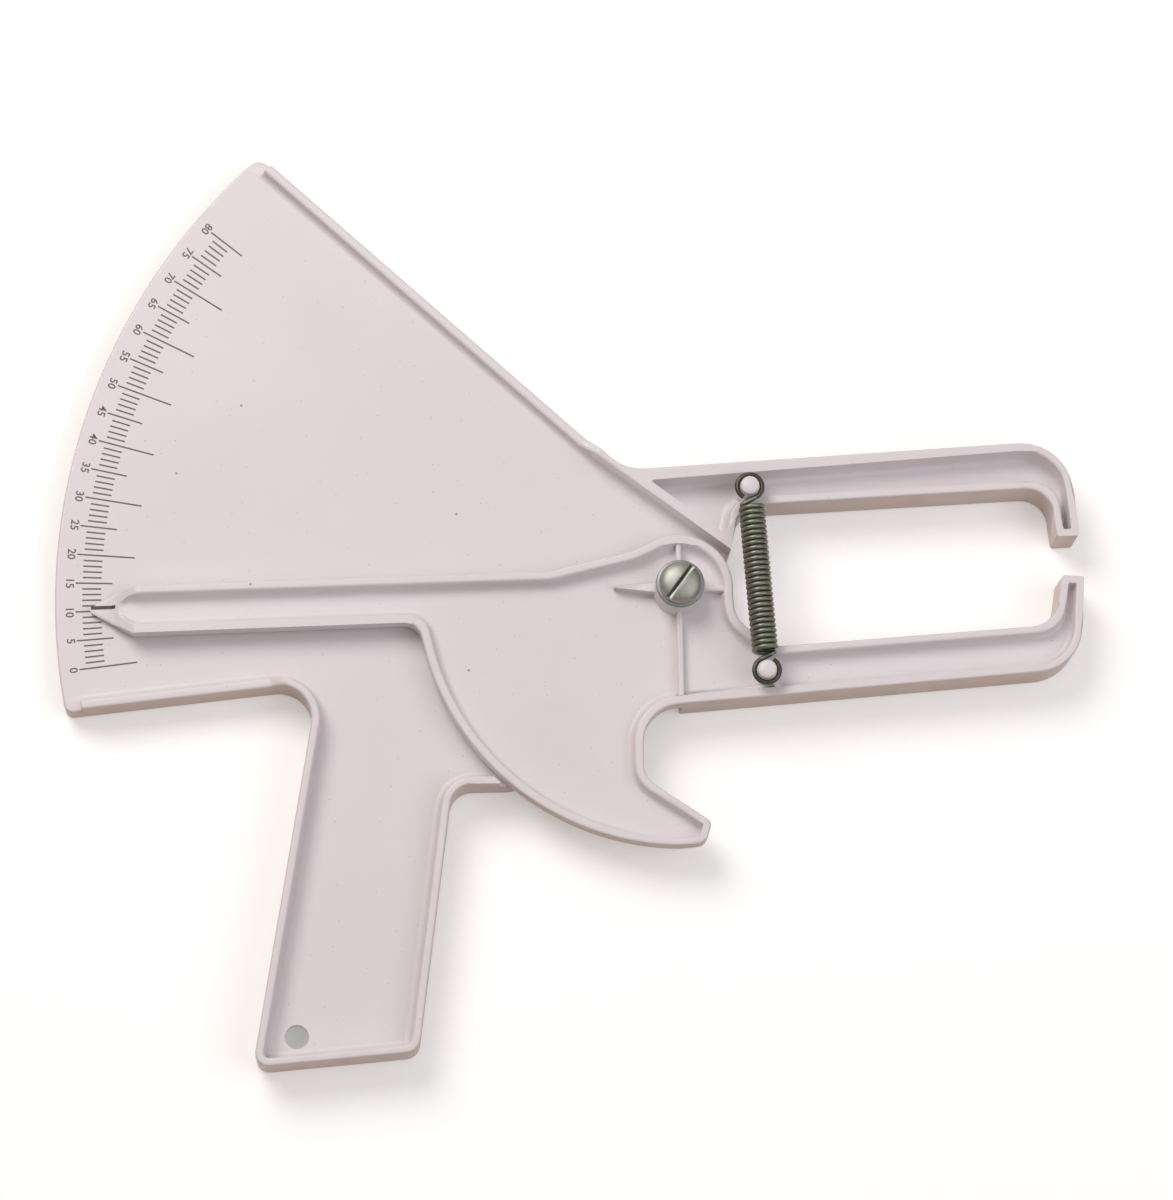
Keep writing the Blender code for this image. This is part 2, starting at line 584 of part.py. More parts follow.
def lock_nut():
    """A hexagon with chamfered corners and a collar rolled over the nylon ring."""
    corner_radius = NUT_FLATS / math.sqrt(3)
    seat = NUT_FRONT - NUT_HEX_HEIGHT
    hexagon = arc(corner_radius, 0, -2 * math.pi * 5 / 6, 5)
    nut = slab("lock_nut", hexagon, seat, NUT_FRONT)
    shape = [(0, seat), (NUT_FLATS / 2, seat), (corner_radius, seat + NUT_CHAMFER)]
    shape += [(corner_radius, NUT_FRONT - NUT_CHAMFER), (NUT_FLATS / 2, NUT_FRONT), (0, NUT_FRONT)]
    combine(nut, turned("chamfer", shape), "INTERSECT")
    end = seat - NUT_COLLAR_HEIGHT
    collar = [(0, end), (NUT_COLLAR_RADIUS - NUT_CHAMFER, end), (NUT_COLLAR_RADIUS, end + NUT_CHAMFER)]
    fuse(nut, turned("collar", collar + [(NUT_COLLAR_RADIUS, seat + BITE), (0, seat + BITE)]))
    cut(nut, disc("thread", BORE_RADIUS, end - OVERRUN, NUT_FRONT + OVERRUN))
    cut(nut, disc("lip", NUT_LIP_RADIUS, end - OVERRUN, end + NUT_LIP + BITE))
    room = end + NUT_LIP + INSERT_HEIGHT + 2 * FIT_GAP
    return cut(nut, disc("room", INSERT_RADIUS + FIT_GAP, end + NUT_LIP, room))


def lock_nut_insert():
    """The nylon ring inside the nut's collar."""
    low = NUT_FRONT - NUT_HEX_HEIGHT - NUT_COLLAR_HEIGHT + NUT_LIP + FIT_GAP
    high = low + INSERT_HEIGHT
    profile = [(BORE_RADIUS, low), (INSERT_RADIUS, low), (INSERT_RADIUS, high), (BORE_RADIUS, high)]
    return turned("lock_nut_insert", profile)


def spring_end():
    """Wire points from one loop's free end to the coil, along the spring, across it and up."""
    sweep = math.ceil(LOOP_POINTS * LOOP_SWEEP / (2 * math.pi))
    turns = [LOOP_LEAVES - LOOP_SWEEP * (1 - step / sweep) for step in range(sweep + 1)]
    points = [Vector((LOOP_RADIUS * math.cos(t), LOOP_RADIUS * math.sin(t), 0)) for t in turns]
    leaves = points[-1]
    bend = Vector((COIL_START, COIL_RADIUS, 0))
    before = bend.lerp(leaves, BEND_REACH_SHARE)
    after = coil_point(BEND_TURN)
    for step in range(BEND_POINTS + 1):
        share = step / BEND_POINTS
        points.append(before.lerp(bend, share).lerp(bend.lerp(after, share), share))
    return points


def coil_point(turn):
    """A point on the coil's wire after a turn from where the coil starts."""
    pitch = (post_distance() - 2 * COIL_START) / COIL_TURNS
    along = COIL_START + pitch * turn / (2 * math.pi)
    return Vector((along, COIL_RADIUS * math.cos(turn), -COIL_RADIUS * math.sin(turn)))


def post_distance():
    """The distance between the posts with the jaws as drawn."""
    return 2 * POST_FROM_PIVOT * math.sin((UPPER_POST_ANGLE - LOWER_POST_ANGLE) / 2)


def spring():
    """One wire: a loop on the upper post, the close coil, and a loop on the lower post."""
    length = post_distance()
    first = spring_end()
    last = [Vector((length - p.x, -p.y, p.z)) for p in reversed(first)]
    whole = 2 * math.pi * COIL_TURNS
    step = 2 * math.pi / CURL_POINTS
    count = math.floor((whole - 2 * BEND_TURN) / step)
    turns = [BEND_TURN + (whole - 2 * BEND_TURN) * i / count for i in range(1, count)]
    wire = first + [coil_point(turn) for turn in turns] + last

    upper = polar(POST_FROM_PIVOT, UPPER_POST_ANGLE)
    along = (polar(POST_FROM_PIVOT, LOWER_POST_ANGLE) - upper).normalized()
    across = -side_of(along)
    curve = bpy.data.curves.new("spring", "CURVE")
    curve.dimensions = "3D"
    curve.bevel_depth = WIRE / 2
    curve.bevel_resolution = 1
    curve.use_fill_caps = True
    line = curve.splines.new("POLY")
    line.points.add(len(wire) - 1)
    for point, place in zip(line.points, wire):
        flat = along * place.x + across * place.y
        point.co = (flat.x, flat.y, SPRING_AXIS + place.z, 1)
    made = bpy.data.objects.new("spring", curve)
    bpy.context.scene.collection.objects.link(made)
    print("least gap of the spring's wire to itself, mm:", round(least_gap(wire) / MM, 3))
    return made


def least_gap(wire):
    """The wire's least gap to itself, measured between points of different curls."""
    places = np.array([tuple(place) for place in wire])
    run = np.concatenate([[0], np.cumsum(np.linalg.norm(np.diff(places, axis=0), axis=1))])
    apart = np.abs(run[:, None] - run[None, :]) > math.pi * COIL_RADIUS
    reach = np.linalg.norm(places[:, None] - places[None, :], axis=2)
    return float(reach[apart].min()) - WIRE


def finish(made, look):
    """Gives a piece its own material and smooth round faces."""
    colour, roughness, metallic = look
    material = bpy.data.materials.new(made.name)
    material.use_nodes = True
    shader = material.node_tree.nodes["Principled BSDF"]
    shader.inputs["Base Color"].default_value = colour
    shader.inputs["Roughness"].default_value = roughness
    shader.inputs["Metallic"].default_value = metallic
    made.data.materials.clear()
    made.data.materials.append(material)
    if made.type == "MESH":
        made.data.shade_smooth()
        made.data.set_sharp_from_angle(angle=SMOOTH_UNDER)
    return made


def footprint_middle(pieces):
    """The middle, in plan, of everything that rests on the surface or hangs over it."""
    places = [vertex.co for piece in pieces for vertex in piece.data.vertices]
    xs = [place.x for place in places]
    ys = [place.y for place in places]
    return Vector(((min(xs) + max(xs)) / 2, (min(ys) + max(ys)) / 2))


def build():
    """Clears the scene, makes every piece and hangs it on the axis that it turns about."""
    for old in list(bpy.data.objects):
        bpy.data.objects.remove(old, do_unlink=True)
    frame = finish(frame_moulding(), WHITE_ABS)
    lever = finish(lever_moulding(), WHITE_ABS)
    front_washer = washer("front_washer", WASHER_RADIUS, WASHER_BACK, WASHER_BACK + WASHER_THICKNESS)
    back_low = BACK_WASHER_FRONT - BACK_WASHER_THICKNESS
    back_washer = washer("back_washer", WASHER_RADIUS, back_low, BACK_WASHER_FRONT)
    on_pivot = [frame, lever, finish(pivot_screw(), ZINC_PLATE), finish(front_washer, ZINC_PLATE)]
    on_pivot += [finish(back_washer, ZINC_PLATE), finish(lock_nut(), ZINC_PLATE)]
    on_pivot += [finish(lock_nut_insert(), NATURAL_NYLON)]

    middle = footprint_middle([frame, lever])
    pivot = bpy.data.objects.new("pivot_axis", None)
    post = bpy.data.objects.new("upper_post_axis", None)
    for axis in (pivot, post):
        bpy.context.scene.collection.objects.link(axis)
    pivot.location = (-middle.x, -middle.y, 0)
    place = polar(POST_FROM_PIVOT, UPPER_POST_ANGLE)
    post.location = (place.x, place.y, 0)
    post.parent = pivot
    for piece in on_pivot:
        piece.parent = pivot
    finish(spring(), SPRING_STEEL).parent = post
    print("pivot, mm:", [round(value / MM, 4) for value in -middle])
    print("upper post, mm:", [round(value / MM, 4) for value in place - middle])


build()
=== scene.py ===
import json
import math

import bmesh
import bpy
from mathutils import Matrix, Vector
from mathutils.geometry import intersect_point_line


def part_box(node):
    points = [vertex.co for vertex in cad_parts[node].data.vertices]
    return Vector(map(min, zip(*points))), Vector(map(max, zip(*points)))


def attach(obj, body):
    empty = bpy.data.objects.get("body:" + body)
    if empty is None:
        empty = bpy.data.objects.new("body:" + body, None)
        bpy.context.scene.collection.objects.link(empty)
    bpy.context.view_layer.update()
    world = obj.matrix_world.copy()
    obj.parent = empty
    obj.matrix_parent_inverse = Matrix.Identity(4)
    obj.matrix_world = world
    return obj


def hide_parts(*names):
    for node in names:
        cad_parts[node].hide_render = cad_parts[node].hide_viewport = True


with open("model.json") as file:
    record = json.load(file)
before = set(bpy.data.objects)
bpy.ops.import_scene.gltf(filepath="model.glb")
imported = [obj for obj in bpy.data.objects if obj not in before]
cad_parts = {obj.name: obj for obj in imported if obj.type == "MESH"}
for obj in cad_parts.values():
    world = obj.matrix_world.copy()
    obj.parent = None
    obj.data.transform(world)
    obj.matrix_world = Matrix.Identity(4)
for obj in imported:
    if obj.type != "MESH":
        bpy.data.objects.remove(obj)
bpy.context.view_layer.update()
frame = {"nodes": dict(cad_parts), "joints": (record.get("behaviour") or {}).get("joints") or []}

MM = 0.001
scene = bpy.context.scene
joints = {joint["name"]: joint for joint in frame["joints"]}
pivot = Vector(joints["lever_pivot"]["pos_m"])

# The camera looks at the scale's face from a little below, through a long lens. It sees the point
# of the pivot's axis at VIEW_HEIGHT right of the picture's middle.
VIEW_TILT = math.radians(-13.0)
VIEW_SWING = math.radians(2.5)
VIEW_DISTANCE = 1193.6 * MM
VIEW_HEIGHT = 9.6 * MM
PIVOT_IN_VIEW = Vector((24.35 * MM, 2.47 * MM, -VIEW_DISTANCE))
view_turn = Matrix.Rotation(VIEW_TILT, 3, "X") @ Matrix.Rotation(VIEW_SWING, 3, "Y")
view_back = view_turn.transposed()
view_place = Vector((pivot.x, pivot.y, VIEW_HEIGHT)) - view_back @ PIVOT_IN_VIEW
bpy.ops.object.camera_add(location=view_place, rotation=view_back.to_euler())
camera = bpy.context.object
camera.name = "camera"
camera.data.sensor_fit = "HORIZONTAL"
camera.data.sensor_width = 36.0
camera.data.lens = 138.1
scene.camera = camera

# Where a colour Mix node keeps its two colours and its result.
MIX_A, MIX_B, MIX_OUT = 6, 7, 2


def linear(code):
    """An sRGB hex colour as linear red, green, blue and alpha."""
    shares = [int(code[i:i + 2], 16) / 255 for i in (0, 2, 4)]
    return tuple(((s + 0.055) / 1.055) ** 2.4 if s > 0.04045 else s / 12.92 for s in shares) + (1.0,)


def add(owner, kind, inputs, **settings):
    """Adds a node to a material or a world; each input takes a value or another node's output."""
    node = owner.node_tree.nodes.new(kind)
    for name, value in settings.items():
        setattr(node, name, value)
    for name, value in inputs.items():
        if isinstance(value, bpy.types.NodeSocket):
            owner.node_tree.links.new(value, node.inputs[name])
        else:
            node.inputs[name].default_value = value
    return node


def empty_material(name):
    """A material whose nodes are still to be added."""
    material = bpy.data.materials.new(name)
    material.use_nodes = True
    material.node_tree.nodes.clear()
    return material


# The floor is a sheet of pale satin card that runs far past the picture. It looks white to the
# camera and in reflections, and still takes the caliper's soft shadow. The light that it throws
# back under the arms is tan, as in the photograph.
FLOOR_SIZE = 4.0
FLOOR_DROP = 0.3 * MM
FLOOR_GLOW = 0.32
bpy.ops.mesh.primitive_plane_add(size=FLOOR_SIZE, location=(0, 0, -FLOOR_DROP))
floor = bpy.context.object
floor.name = "floor"
card = empty_material("satin_card")
rays = add(card, "ShaderNodeLightPath", {})
seen = add(card, "ShaderNodeMath", {
    0: rays.outputs["Is Camera Ray"], 1: rays.outputs["Is Glossy Ray"]})
seen = add(card, "ShaderNodeMath", {
    0: seen.outputs[0], 1: rays.outputs["Is Transmission Ray"]}, use_clamp=True)
glow = add(card, "ShaderNodeMath", {0: seen.outputs[0], 1: FLOOR_GLOW}, operation="MULTIPLY")
tint = add(card, "ShaderNodeMix", {
    0: seen.outputs[0], MIX_A: linear("B8843C"), MIX_B: linear("E8E7E6")}, data_type="RGBA")
paper = add(card, "ShaderNodeBsdfPrincipled", {
    "Base Color": tint.outputs[MIX_OUT], "Roughness": 0.7, "Emission Color": (1.0, 1.0, 1.0, 1.0),
    "Emission Strength": glow.outputs[0]})
add(card, "ShaderNodeOutputMaterial", {"Surface": paper.outputs[0]})
floor.data.materials.append(card)

# Two soft boxes, each with its place, size, watts and colour: the key stands above the scale and to
# the left, so that walls that face the grip fall into a soft shade, and a low fill opens the pockets.
LIGHTS = (
    ("key", (-0.50, 0.66, 1.00), 0.80, 9.9, "FFFAF6"),
    ("fill", (0.70, -0.20, 0.90), 0.90, 3.4, "F4F4FF"),
)
for name, place, size, power, colour in LIGHTS:
    aim = -Vector(place)
    bpy.ops.object.light_add(
        type="AREA", location=place, rotation=aim.to_track_quat("-Z", "Y").to_euler())
    lamp = bpy.context.object
    lamp.name = name
    lamp.data.shape = "DISK"
    lamp.data.size = size
    lamp.data.energy = power
    lamp.data.color = linear(colour)[:3]

# The room lights the caliper white from overhead and tan from along the horizon, up to where its
# walls end. What the camera sees of the room stays pale.
WALLS_END = 0.7
ROOM_LIGHT = 0.42
ROOM_SEEN = 0.95
room = bpy.data.worlds.new("room")
scene.world = room
room.use_nodes = True
room.node_tree.nodes.clear()
toward = add(room, "ShaderNodeTexCoord", {})
rise = add(room, "ShaderNodeSeparateXYZ", {0: toward.outputs["Generated"]})
overhead = add(room, "ShaderNodeMapRange", {"Value": rise.outputs["Z"], "From Max": WALLS_END})
walls = add(room, "ShaderNodeMix", {
    0: overhead.outputs[0], MIX_A: linear("BF9355"), MIX_B: linear("F6F5F4")}, data_type="RGBA")
looking = add(room, "ShaderNodeLightPath", {}).outputs["Is Camera Ray"]
backdrop = add(room, "ShaderNodeMix", {
    0: looking, MIX_A: walls.outputs[MIX_OUT], MIX_B: linear("F6F5F4")}, data_type="RGBA")
strength = add(room, "ShaderNodeMapRange", {
    "Value": looking, "To Min": ROOM_LIGHT, "To Max": ROOM_SEEN})
light = add(room, "ShaderNodeBackground", {
    "Color": backdrop.outputs[MIX_OUT], "Strength": strength.outputs[0]})
add(room, "ShaderNodeOutputWorld", {"Surface": light.outputs[0]})
scene.view_settings.view_transform = "Standard"

# The two mouldings are white ABS, gone faintly pink: semi-gloss where the mould was polished, with
# fine specks and a few larger flecks of dust on the faces that lie level.
ABS_CLOUD = 38.0 * MM
ABS_SPECK_CELL = 11.0 * MM
ABS_SPECK_SHARE = 0.018
ABS_SPECK_DARKNESS = 0.5
ABS_FLECK_CELL = 52.0 * MM
ABS_FLECK_SHARE = 0.0085
ABS_FLECK_DARKNESS = 0.8
ABS_LEVEL = 0.97
ABS_PEEL = 0.7 * MM
ABS_SINK = 16.0 * MM
ABS_RUB = 5.0 * MM


def dust(material, at, cell, share, darkness):
    """One dot of dust in each cell, whose radius is a share of the cell's size."""
    near = add(material, "ShaderNodeTexVoronoi", {
        "Vector": at, "Scale": 1 / cell}, voronoi_dimensions="2D")
    dot = add(material, "ShaderNodeMapRange", {
        "Value": near.outputs["Distance"], "From Min": share, "From Max": share / 2, "To Max": darkness})
    return dot.outputs[0]


def moulded_abs():
    """Injection-moulded ABS: an even, slightly milky white with a satin shine and settled dust."""
    material = empty_material("moulded_white_abs")
    space = add(material, "ShaderNodeTexCoord", {})
    at = space.outputs["Object"]
    cloud = add(material, "ShaderNodeTexNoise", {"Vector": at, "Scale": 1 / ABS_CLOUD, "Detail": 3.0})
    tint = add(material, "ShaderNodeMix", {
        0: cloud.outputs[0], MIX_A: linear("DDD5D9"), MIX_B: linear("E3DCDE")}, data_type="RGBA")
    dots = add(material, "ShaderNodeMath", {
        0: dust(material, at, ABS_SPECK_CELL, ABS_SPECK_SHARE, ABS_SPECK_DARKNESS),
        1: dust(material, at, ABS_FLECK_CELL, ABS_FLECK_SHARE, ABS_FLECK_DARKNESS)}, operation="MAXIMUM")
    facing = add(material, "ShaderNodeSeparateXYZ", {0: space.outputs["Normal"]})
    level = add(material, "ShaderNodeMath", {
        0: facing.outputs["Z"], 1: ABS_LEVEL}, operation="GREATER_THAN")
    settled = add(material, "ShaderNodeMath", {
        0: dots.outputs[0], 1: level.outputs[0]}, operation="MULTIPLY")
    dusty = add(material, "ShaderNodeMix", {
        0: settled.outputs[0], MIX_A: tint.outputs[MIX_OUT], MIX_B: linear("857A70")}, data_type="RGBA")
    rub = add(material, "ShaderNodeTexNoise", {"Vector": at, "Scale": 1 / ABS_RUB, "Detail": 4.0})
    satin = add(material, "ShaderNodeMapRange", {
        "Value": rub.outputs[0], "From Min": 0.3, "From Max": 0.7, "To Min": 0.34, "To Max": 0.46})
    sink = add(material, "ShaderNodeTexNoise", {"Vector": at, "Scale": 1 / ABS_SINK, "Detail": 1.0})
    waves = add(material, "ShaderNodeBump", {
        "Height": sink.outputs[0], "Strength": 0.5, "Distance": 0.05 * MM})
    peel = add(material, "ShaderNodeTexNoise", {"Vector": at, "Scale": 1 / ABS_PEEL, "Detail": 2.0})
    skin = add(material, "ShaderNodeBump", {
        "Height": peel.outputs[0], "Strength": 0.25, "Distance": 0.01 * MM, "Normal": waves.outputs[0]})
    shader = add(material, "ShaderNodeBsdfPrincipled", {
        "Base Color": dusty.outputs[MIX_OUT], "Roughness": satin.outputs[0], "IOR": 1.53,
        "Normal": skin.outputs[0]})
    add(material, "ShaderNodeOutputMaterial", {"Surface": shader.outputs[0]})
    return material


# The mould rounds their rims wherever there is room for it. A rim's rounding is smaller beside a
# narrow face and in a tight bend, and it is left out where it would fold back on itself.
RIM_ROUND = 0.7 * MM
ROUND_STEPS = 3
SHARP = math.radians(28.0)
SLIGHT_BEND = math.radians(2.0)
CORNER = math.radians(60.0)
SAME_PLACE = 0.01 * MM
SHORTEST_EDGE = 0.1 * MM
FLAT = math.radians(0.5)
FACE_SHARE = 0.4
BEND_SHARE = 0.8
FOLDED = math.radians(130.0)
FOLD_REACH = 0.5 * MM
FOLD_LOOKS = 2
CREASE = math.radians(48.0)
abs_white = moulded_abs()


def copy_of(name, node):
    """A CAD node's mesh again, as the active object in edit mode, with its doubled points merged."""
    bpy.ops.object.select_all(action="DESELECT")
    piece = bpy.data.objects.new(name, frame["nodes"][node].data.copy())
    scene.collection.objects.link(piece)
    bpy.context.view_layer.objects.active = piece
    piece.select_set(True)
    bpy.ops.object.mode_set(mode="EDIT")
    bpy.ops.mesh.select_all(action="SELECT")
    bpy.ops.mesh.remove_doubles(threshold=SAME_PLACE)
    return piece


def cut_away(piece, trimmer):
    """Cuts the trimmer's shape out of a piece in edit mode, and removes the trimmer."""
    bpy.ops.object.mode_set(mode="OBJECT")
    trim = piece.modifiers.new("trim", "BOOLEAN")
    trim.object = trimmer
    trim.solver = "EXACT"
    bpy.ops.object.modifier_apply(modifier=trim.name)
    bpy.data.objects.remove(trimmer)
    bpy.ops.object.mode_set(mode="EDIT")
    bpy.ops.mesh.select_all(action="SELECT")


def rim_room(edge, rims):
    """The radius that a rim has room for, between the ends of its faces and in tight bends."""
    start, end = (vertex.co for vertex in edge.verts)
    along = (end - start).normalized()
    room_left = RIM_ROUND
    for face in edge.link_faces:
        away = [vertex.co - start for vertex in face.verts]
        depth = max((step - along * step.dot(along)).length for step in away)
        room_left = min(room_left, FACE_SHARE * depth)
    for vertex in edge.verts:
        for other in vertex.link_edges:
            here = vertex.co - edge.other_vert(vertex).co
            turn = here.angle(other.other_vert(vertex).co - vertex.co, 0.0)
            if other in rims and other is not edge and SLIGHT_BEND < turn < CORNER:
                shorter = min(edge.calc_length(), other.calc_length())
                room_left = min(room_left, BEND_SHARE * shorter / (2 * math.tan(turn / 2)))
    return room_left


def weigh_rims(piece, crisp, crisp_reach):
    """Gives each rim of a piece in edit mode its share of the rounding, and none at the crisp place."""
    shape = bmesh.from_edit_mesh(piece.data)
    weight = shape.edges.layers.float.new("bevel_weight_edge")
    rims = {
        edge for edge in shape.edges
        if edge.calc_face_angle_signed(0.0) > SHARP
        and (edge.verts[0].co.xy - crisp).length > crisp_reach}
    for edge in rims:
        edge[weight] = rim_room(edge, rims) / RIM_ROUND
    bmesh.update_edit_mesh(piece.data)


def fold_places(piece):
    """The ends of the edges at which the rounded surface would fold back on itself."""
    shape = bmesh.new()
    shape.from_mesh(piece.evaluated_get(bpy.context.evaluated_depsgraph_get()).data)
    bmesh.ops.triangulate(shape, faces=shape.faces[:])
    folds = [edge for edge in shape.edges if edge.calc_face_angle(0.0) > FOLDED]
    places = [vertex.co.copy() for edge in folds for vertex in edge.verts]
    shape.free()
    return places


def near_line(place, start, end):
    """Whether a place lies within a fold's reach of the line between two points."""
    share = intersect_point_line(place, start, end)[1]
    return (place - start.lerp(end, min(1.0, max(0.0, share)))).length < FOLD_REACH


def spare_folds(piece):
    """Leaves the rims sharp near the places where their rounding folds."""
    folds = fold_places(piece)
    weights = piece.data.attributes["bevel_weight_edge"].data
    for edge in piece.data.edges:
        start, end = (piece.data.vertices[index].co for index in edge.vertices)
        if weights[edge.index].value and any(near_line(place, start, end) for place in folds):
            weights[edge.index].value = 0.0
    piece.data.update()


def soft_moulding(name, node, body, trimmer=None, crisp=Vector((0, 0)), crisp_reach=0.0):
    """The CAD moulding again, trimmed if need be, with rounded rims, but for a crisp hole."""
    piece = copy_of(name, node)
    bpy.ops.mesh.normals_make_consistent(inside=False)
    if trimmer:
        cut_away(piece, trimmer)
    bpy.ops.mesh.dissolve_limited(angle_limit=FLAT)
    bpy.ops.mesh.select_all(action="SELECT")
    bpy.ops.mesh.remove_doubles(threshold=SHORTEST_EDGE)
    weigh_rims(piece, crisp, crisp_reach)
    bpy.ops.object.mode_set(mode="OBJECT")
    rounding = piece.modifiers.new("rounding", "BEVEL")
    rounding.limit_method = "WEIGHT"
    rounding.width = RIM_ROUND
    rounding.segments = ROUND_STEPS
    rounding.use_clamp_overlap = False
    for look in range(FOLD_LOOKS):
        spare_folds(piece)
    bpy.ops.object.modifier_apply(modifier=rounding.name)
    piece.data.materials.clear()
    piece.data.materials.append(abs_white)
    bpy.ops.object.shade_smooth_by_angle(angle=CREASE)
    facing = piece.modifiers.new("facing", "WEIGHTED_NORMAL")
    facing.keep_sharp = True
    bpy.ops.object.modifier_apply(modifier=facing.name)
    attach(piece, body)
    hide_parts(node)


# The frame is the moulding with the fan, the handle and the upper arm. The ribs along the fan's two
# straight sides stop short of its rounded corners, and the handle's hang hole is round and crisp.
WEB_FRONT = 7.5 * MM
RIBS_END = 160.4 * MM
PAST_FAN = 175.0 * MM
PAST_RIBS = 12.0 * MM
RIB_SIDES = 16.0 * MM
RIB_ANGLES = (math.radians(133.35), math.radians(192.0))
HANG_HOLE = Vector((-70.795 * MM, -114.685 * MM))
HANG_HOLE_RADIUS = 3.14 * MM
HANG_HOLE_SIDES = 64
HANG_HOLE_LIP = 0.3 * MM
blocks = []
for angle in RIB_ANGLES:
    bpy.ops.mesh.primitive_cube_add(size=1.0, location=(0, 0, 0))
    block = bpy.context.object
    block.data.transform(Matrix.Diagonal((PAST_FAN - RIBS_END, RIB_SIDES, PAST_RIBS, 1.0)))
    block.data.transform(
        Matrix.Translation(((PAST_FAN + RIBS_END) / 2, 0, WEB_FRONT + PAST_RIBS / 2)))
    block.data.transform(
        Matrix.Translation((pivot.x, pivot.y, 0)) @ Matrix.Rotation(angle, 4, "Z"))
    blocks.append(block)
bpy.ops.mesh.primitive_cylinder_add(
    vertices=HANG_HOLE_SIDES, radius=HANG_HOLE_RADIUS, depth=4 * PAST_RIBS, location=(*HANG_HOLE, 0))
drill = bpy.context.object
drill.data.transform(drill.matrix_basis)
drill.location = (0, 0, 0)
for block in blocks:
    block.select_set(True)
bpy.ops.object.join()
soft_moulding("scale_frame", "frame", "frame", drill, HANG_HOLE, HANG_HOLE_RADIUS + HANG_HOLE_LIP)

# The lever is the other moulding: the pointer, the trigger with its finger hook and the lower arm.
soft_moulding("pointer_lever", "lever", "lever")

# The scale is pad-printed in dark grey ink on the fan's flat web: a line for each millimetre of jaw
# opening, longer at fives and tens, with plain numbers every five whose tops face the pivot.
INK_RISE = 0.02 * MM
JAW_REACH = 102.0 * MM
ZERO_ANGLE = math.radians(188.1)
LAST_MARK = 80
LINE_WIDTH = 0.42 * MM
LINE_END_ROUND = 0.4
UNIT_LINE = (152.6 * MM, 157.6 * MM)
FIVE_LINE = (149.7 * MM, 159.4 * MM)
TEN_LINE = (144.2 * MM, 159.4 * MM)
LAST_LINE = (148.8 * MM, 159.4 * MM)
NUMBER_TOP = 159.8 * MM
NUMBER_HEIGHT = 2.2 * MM
NUMBER_WEIGHT = 0.05 * MM
FIGURE_SHARE = 0.73


def printing_ink():
    """Pad-printing ink: a thin, flat dark grey, a little broken where it has worn."""
    material = empty_material("pad_printing_ink")
    at = add(material, "ShaderNodeTexCoord", {}).outputs["Object"]
    wear_and_painted_light = add(material, "ShaderNodeTexNoise", {"Vector": at, "Scale": 1 / MM, "Detail": 3.0})
    tone = add(material, "ShaderNodeMix", {
        0: wear_and_painted_light.outputs[0], MIX_A: linear("55514F"), MIX_B: linear("77716F")}, data_type="RGBA")
    shader = add(material, "ShaderNodeBsdfPrincipled", {
        "Base Color": tone.outputs[MIX_OUT], "Roughness": 0.55})
    add(material, "ShaderNodeOutputMaterial", {"Surface": shader.outputs[0]})
    return material


def mark_angle(mark):
    """The angle about the pivot at which the scale shows a jaw opening in millimetres."""
    return ZERO_ANGLE - 2 * math.asin(mark * MM / (2 * JAW_REACH))


def on_scale(radius, angle, height):
    """Turns and moves a mark drawn along X at the origin to its place on the scale."""
    place = Vector((pivot.x + radius * math.cos(angle), pivot.y + radius * math.sin(angle), height))
    return Matrix.Translation(place) @ Matrix.Rotation(angle - math.pi, 4, "Z")


def ink_line(inner, outer, angle, height, width):
    """One printed line along a radius, with rounded ends."""
    bpy.ops.mesh.primitive_cube_add(size=1.0, location=(0, 0, 0))
    line = bpy.context.object
    line.data.transform(Matrix.Diagonal((outer - inner, width, INK_RISE, 1.0)))
    bpy.ops.object.mode_set(mode="EDIT")
    bpy.ops.mesh.select_all(action="DESELECT")
    shape = bmesh.from_edit_mesh(line.data)
    for edge in shape.edges:
        along = edge.verts[0].co - edge.verts[1].co
        edge.select_set(abs(along.z) > INK_RISE / 2 and abs(along.x) < width / 2)
    bmesh.update_edit_mesh(line.data)
    bpy.ops.mesh.bevel(offset=width * LINE_END_ROUND, segments=2, affect="EDGES")
    bpy.ops.object.mode_set(mode="OBJECT")
    line.data.transform(on_scale((inner + outer) / 2, angle, height + INK_RISE / 2))
    return line


def ink_number(number, angle):
    """One plain number outside its line, its top towards the pivot."""
    bpy.ops.object.text_add(location=(0, 0, 0))
    text = bpy.context.object
    text.data.body = str(number)
    text.data.align_x = "CENTER"
    text.data.size = NUMBER_HEIGHT / FIGURE_SHARE
    text.data.extrude = INK_RISE / 2
    text.data.offset = NUMBER_WEIGHT
    text.data.resolution_u = 3
    bpy.ops.object.convert(target="MESH")
    text = bpy.context.object
    top = max(vertex.co.y for vertex in text.data.vertices)
    low = min(vertex.co.y for vertex in text.data.vertices)
    text.data.transform(
        Matrix.Scale(NUMBER_HEIGHT / (top - low), 4) @ Matrix.Translation((0, -top, 0)))
    text.data.transform(Matrix.Rotation(-math.pi / 2, 4, "Z"))
    text.data.transform(on_scale(NUMBER_TOP, angle, WEB_FRONT + INK_RISE / 2))
    return text


bpy.ops.object.select_all(action="DESELECT")
marks = []
for mark in range(LAST_MARK + 1):
    inner, outer = TEN_LINE if mark % 10 == 0 else FIVE_LINE if mark % 5 == 0 else UNIT_LINE
    if mark == LAST_MARK:
        inner, outer = LAST_LINE
    marks.append(ink_line(inner, outer, mark_angle(mark), WEB_FRONT, LINE_WIDTH))
    if mark % 5 == 0:
        marks.append(ink_number(mark, mark_angle(mark)))
for part in marks:
    part.select_set(True)
bpy.context.view_layer.objects.active = marks[0]
bpy.ops.object.join()
scale_print = bpy.context.object
scale_print.name = "scale_print"
scale_print.data.materials.clear()
scale_print.data.materials.append(printing_ink())
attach(scale_print, "frame")

